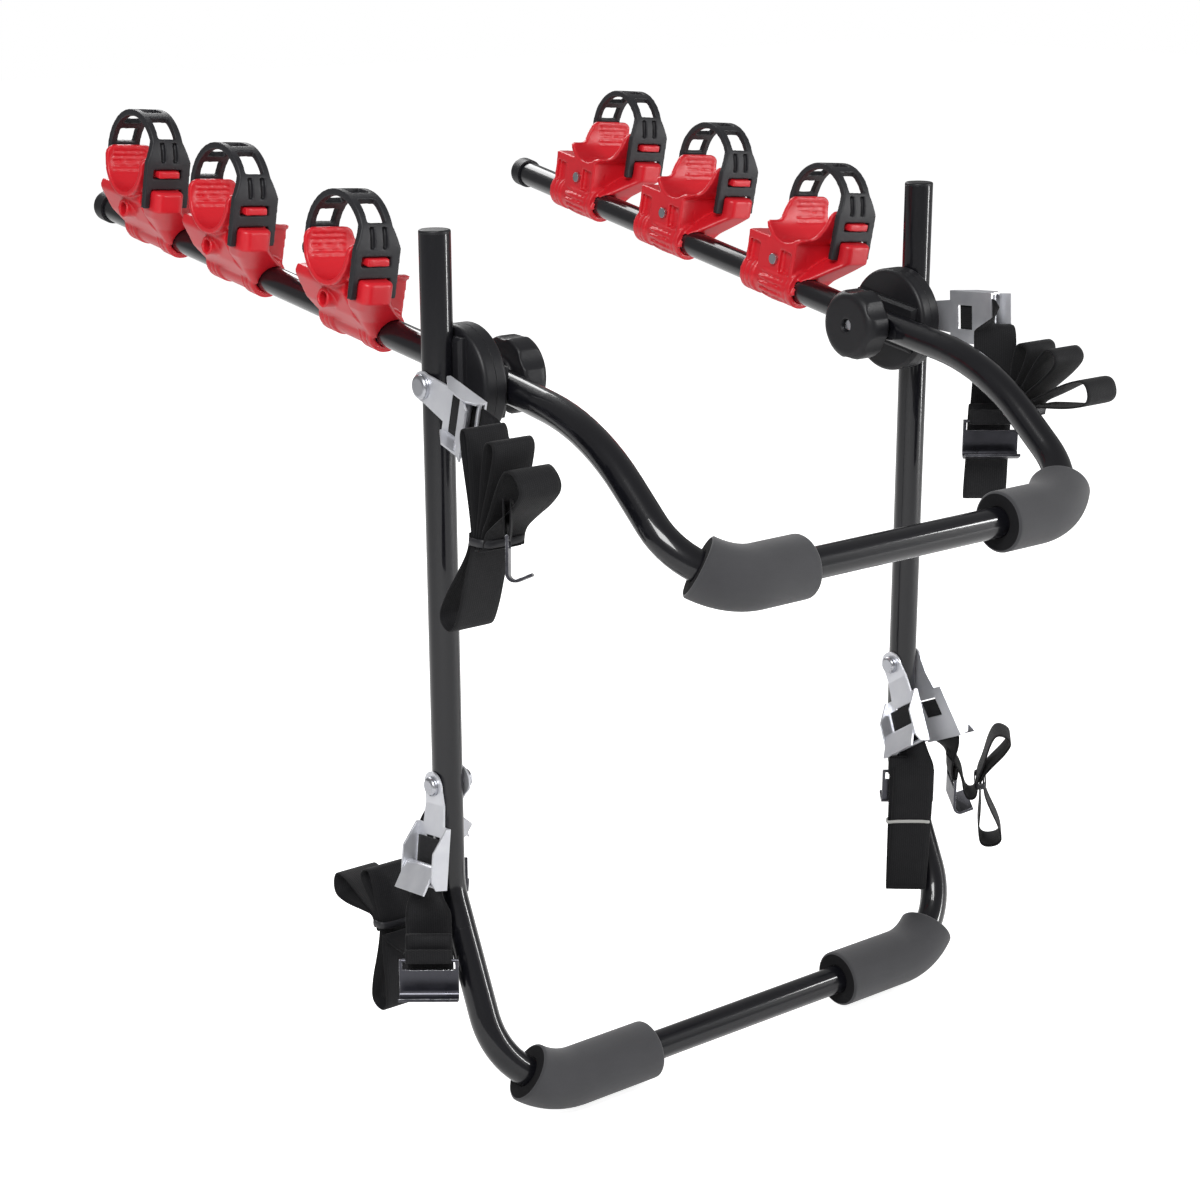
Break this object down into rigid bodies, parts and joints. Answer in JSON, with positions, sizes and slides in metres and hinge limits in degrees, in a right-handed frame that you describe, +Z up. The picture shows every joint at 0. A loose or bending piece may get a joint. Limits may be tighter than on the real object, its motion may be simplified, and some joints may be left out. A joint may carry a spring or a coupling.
{
  "type": "bike carrier",
  "caption": "Strap-on rear carrier for three bicycles: a folding tube frame with two arms, padded cross bars, clamp-on cradles with rubber straps, hub knobs and tie-down straps.",
  "frame": {"origin": "middle of the axis of the lower cross bar, which is the lower rest", "axes": "+X along the cross bars, +Y away from the vehicle along the arms, +Z up"},
  "size_m": [0.7558, 0.9758, 0.8866],
  "materials": {
    "tube_black": "gloss black powder coat",
    "foam": "matt closed-cell foam",
    "cap_plastic": "matt",
    "hub_plastic": "fine grain",
    "knob_plastic": "satin",
    "bolt_zinc": "zinc plated",
    "cradle_red": "satin",
    "strap_rubber": "matt",
    "buckle_zinc": "zinc plated sheet",
    "hook_steel": "dark plated sheet",
    "webbing": "woven"
  },
  "bodies": {
    "frame": {"upright_left": "tube_black", "upright_right": "tube_black", "bottom_bar": "tube_black", "upright_caps": "cap_plastic", "lower_pad_left": "foam", "lower_pad_right": "foam", "hub_plate_left": "hub_plastic", "hub_plate_right": "hub_plastic", "hub_bolts": "bolt_zinc", "strap_bolts": "bolt_zinc"},
    "swing": {"swing_tube": "tube_black", "hub_disc_left": "hub_plastic", "hub_disc_right": "hub_plastic", "arm_caps": "cap_plastic", "upper_pad_left": "foam", "upper_pad_right": "foam", "cradle_screws": "bolt_zinc", "cradle_left_1": "cradle_red", "cradle_left_2": "cradle_red", "cradle_left_3": "cradle_red", "cradle_right_1": "cradle_red", "cradle_right_2": "cradle_red", "cradle_right_3": "cradle_red"},
    "washer_left": {"washer_left": "bolt_zinc"},
    "knob_left": {"knob_left": "knob_plastic"},
    "washer_right": {"washer_right": "bolt_zinc"},
    "knob_right": {"knob_right": "knob_plastic"},
    "ladder_left_1": {"ladder_left_1": "strap_rubber"},
    "ladder_left_2": {"ladder_left_2": "strap_rubber"},
    "ladder_left_3": {"ladder_left_3": "strap_rubber"},
    "ladder_right_1": {"ladder_right_1": "strap_rubber"},
    "ladder_right_2": {"ladder_right_2": "strap_rubber"},
    "ladder_right_3": {"ladder_right_3": "strap_rubber"},
    "strap_upper_left": {"buckle_upper_left": "buckle_zinc", "webbing_upper_left": "webbing", "hook_upper_left": "hook_steel"},
    "lever_upper_left": {"lever_upper_left": "buckle_zinc"},
    "strap_upper_right": {"buckle_upper_right": "buckle_zinc", "webbing_upper_right": "webbing", "hook_upper_right": "hook_steel"},
    "lever_upper_right": {"lever_upper_right": "buckle_zinc"},
    "strap_lower_left_outer": {"buckle_lower_left_outer": "buckle_zinc", "webbing_lower_left_outer": "webbing", "hook_lower_left_outer": "hook_steel"},
    "lever_lower_left_outer": {"lever_lower_left_outer": "buckle_zinc"},
    "strap_lower_left_inner": {"buckle_lower_left_inner": "buckle_zinc", "webbing_lower_left_inner": "webbing", "hook_lower_left_inner": "hook_steel"},
    "lever_lower_left_inner": {"lever_lower_left_inner": "buckle_zinc"},
    "strap_lower_right_inner": {"buckle_lower_right_inner": "buckle_zinc", "webbing_lower_right_inner": "webbing", "hook_lower_right_inner": "hook_steel"},
    "lever_lower_right_inner": {"lever_lower_right_inner": "buckle_zinc"},
    "strap_lower_right_outer": {"buckle_lower_right_outer": "buckle_zinc", "webbing_lower_right_outer": "webbing", "hook_lower_right_outer": "hook_steel"},
    "lever_lower_right_outer": {"lever_lower_right_outer": "buckle_zinc"}
  },
  "joints": [
    {"name": "arm_fold", "type": "hinge", "parent": "frame", "child": "swing", "pos_m": [0, 0.086, 0.654], "axis": [1, 0, 0], "range_deg": [-80, 25]},
    {"name": "washer_slide_left", "type": "slide", "parent": "frame", "child": "washer_left", "axis": [1, 0, 0], "range_m": [0, 0.0061]},
    {"name": "knob_turn_left", "type": "hinge", "parent": "washer_left", "child": "knob_left", "pos_m": [-0.2069, 0.086, 0.654], "axis": [1, 0, 0], "range_deg": [0, 1440]},
    {"name": "washer_slide_right", "type": "slide", "parent": "frame", "child": "washer_right", "axis": [-1, 0, 0], "range_m": [0, 0.0061]},
    {"name": "knob_turn_right", "type": "hinge", "parent": "washer_right", "child": "knob_right", "pos_m": [0.2069, 0.086, 0.654], "axis": [-1, 0, 0], "range_deg": [0, 1440]},
    {"name": "ladder_hinge_left_1", "type": "hinge", "parent": "swing", "child": "ladder_left_1", "pos_m": [-0.27943, 0.29256, 0.7506], "axis": [-0.9946, -0.0703, 0.076], "range_deg": [0, 75], "deforming": ["ladder_left_1"]},
    {"name": "ladder_hinge_left_2", "type": "hinge", "parent": "swing", "child": "ladder_left_2", "pos_m": [-0.29129, 0.49027, 0.77839], "axis": [-0.9946, -0.0703, 0.076], "range_deg": [0, 75], "deforming": ["ladder_left_2"]},
    {"name": "ladder_hinge_left_3", "type": "hinge", "parent": "swing", "child": "ladder_left_3", "pos_m": [-0.30078, 0.64843, 0.80062], "axis": [-0.9946, -0.0703, 0.076], "range_deg": [0, 75], "deforming": ["ladder_left_3"]},
    {"name": "ladder_hinge_right_1", "type": "hinge", "parent": "swing", "child": "ladder_right_1", "pos_m": [0.2872, 0.25816, 0.74012], "axis": [-0.9959, 0.0491, 0.076], "range_deg": [0, 75], "deforming": ["ladder_right_1"]},
    {"name": "ladder_hinge_right_2", "type": "hinge", "parent": "swing", "child": "ladder_right_2", "pos_m": [0.29907, 0.45587, 0.7679], "axis": [-0.9959, 0.0491, 0.076], "range_deg": [0, 75], "deforming": ["ladder_right_2"]},
    {"name": "ladder_hinge_right_3", "type": "hinge", "parent": "swing", "child": "ladder_right_3", "pos_m": [0.30939, 0.62787, 0.79208], "axis": [-0.9959, 0.0491, 0.076], "range_deg": [0, 75], "deforming": ["ladder_right_3"]},
    {"name": "strap_swing_upper_left", "type": "hinge", "parent": "frame", "child": "strap_upper_left", "pos_m": [-0.3038, 0.086, 0.654], "axis": [1, 0, 0], "range_deg": [-6, 6]},
    {"name": "lever_upper_left", "type": "hinge", "parent": "strap_upper_left", "child": "lever_upper_left", "pos_m": [-0.3125, 0.01259, 0.63433], "axis": [0, 0.2588, -0.9659], "range_deg": [0, 35], "stiffness_Nm_per_rad": 0.15, "springref_deg": -22.92},
    {"name": "strap_swing_upper_right", "type": "hinge", "parent": "frame", "child": "strap_upper_right", "pos_m": [0.3038, 0.086, 0.654], "axis": [1, 0, 0], "range_deg": [-6, 6]},
    {"name": "lever_upper_right", "type": "hinge", "parent": "strap_upper_right", "child": "lever_upper_right", "pos_m": [0.3125, 0.01018, 0.6593], "axis": [0, 0.0698, 0.9976], "range_deg": [0, 35], "stiffness_Nm_per_rad": 0.15, "springref_deg": -22.92},
    {"name": "strap_swing_lower_left_outer", "type": "hinge", "parent": "frame", "child": "strap_lower_left_outer", "pos_m": [-0.3038, 0.086, 0.286], "axis": [1, 0, 0], "range_deg": [-6, 6]},
    {"name": "lever_lower_left_outer", "type": "hinge", "parent": "strap_lower_left_outer", "child": "lever_lower_left_outer", "pos_m": [-0.32358, 0.07583, 0.21365], "axis": [0, 0.9903, -0.1392], "range_deg": [0, 35], "stiffness_Nm_per_rad": 0.15, "springref_deg": -22.92},
    {"name": "strap_swing_lower_left_inner", "type": "hinge", "parent": "frame", "child": "strap_lower_left_inner", "pos_m": [-0.2732, 0.086, 0.286], "axis": [1, 0, 0], "range_deg": [-6, 6]},
    {"name": "lever_lower_left_inner", "type": "hinge", "parent": "strap_lower_left_inner", "child": "lever_lower_left_inner", "pos_m": [-0.25342, 0.13675, 0.23344], "axis": [0, -0.7193, -0.6947], "range_deg": [0, 35], "stiffness_Nm_per_rad": 0.15, "springref_deg": -22.92},
    {"name": "strap_swing_lower_right_inner", "type": "hinge", "parent": "frame", "child": "strap_lower_right_inner", "pos_m": [0.2732, 0.086, 0.286], "axis": [1, 0, 0], "range_deg": [-6, 2]},
    {"name": "lever_lower_right_inner", "type": "hinge", "parent": "strap_lower_right_inner", "child": "lever_lower_right_inner", "pos_m": [0.25342, 0.04514, 0.22543], "axis": [0, 0.829, -0.5592], "range_deg": [0, 35], "stiffness_Nm_per_rad": 0.15, "springref_deg": -22.92},
    {"name": "strap_swing_lower_right_outer", "type": "hinge", "parent": "frame", "child": "strap_lower_right_outer", "pos_m": [0.3038, 0.086, 0.286], "axis": [1, 0, 0], "range_deg": [-6, 6]},
    {"name": "lever_lower_right_outer", "type": "hinge", "parent": "strap_lower_right_outer", "child": "lever_lower_right_outer", "pos_m": [0.32358, 0.05512, 0.21978], "axis": [0, -0.9063, 0.4226], "range_deg": [0, 35], "stiffness_Nm_per_rad": 0.15, "springref_deg": -22.92}
  ],
  "couplings": [
    {"joint": "washer_slide_left", "follows": "knob_turn_left", "m_per_rad": 0.00023873},
    {"joint": "washer_slide_right", "follows": "knob_turn_right", "m_per_rad": 0.00023873}
  ]
}
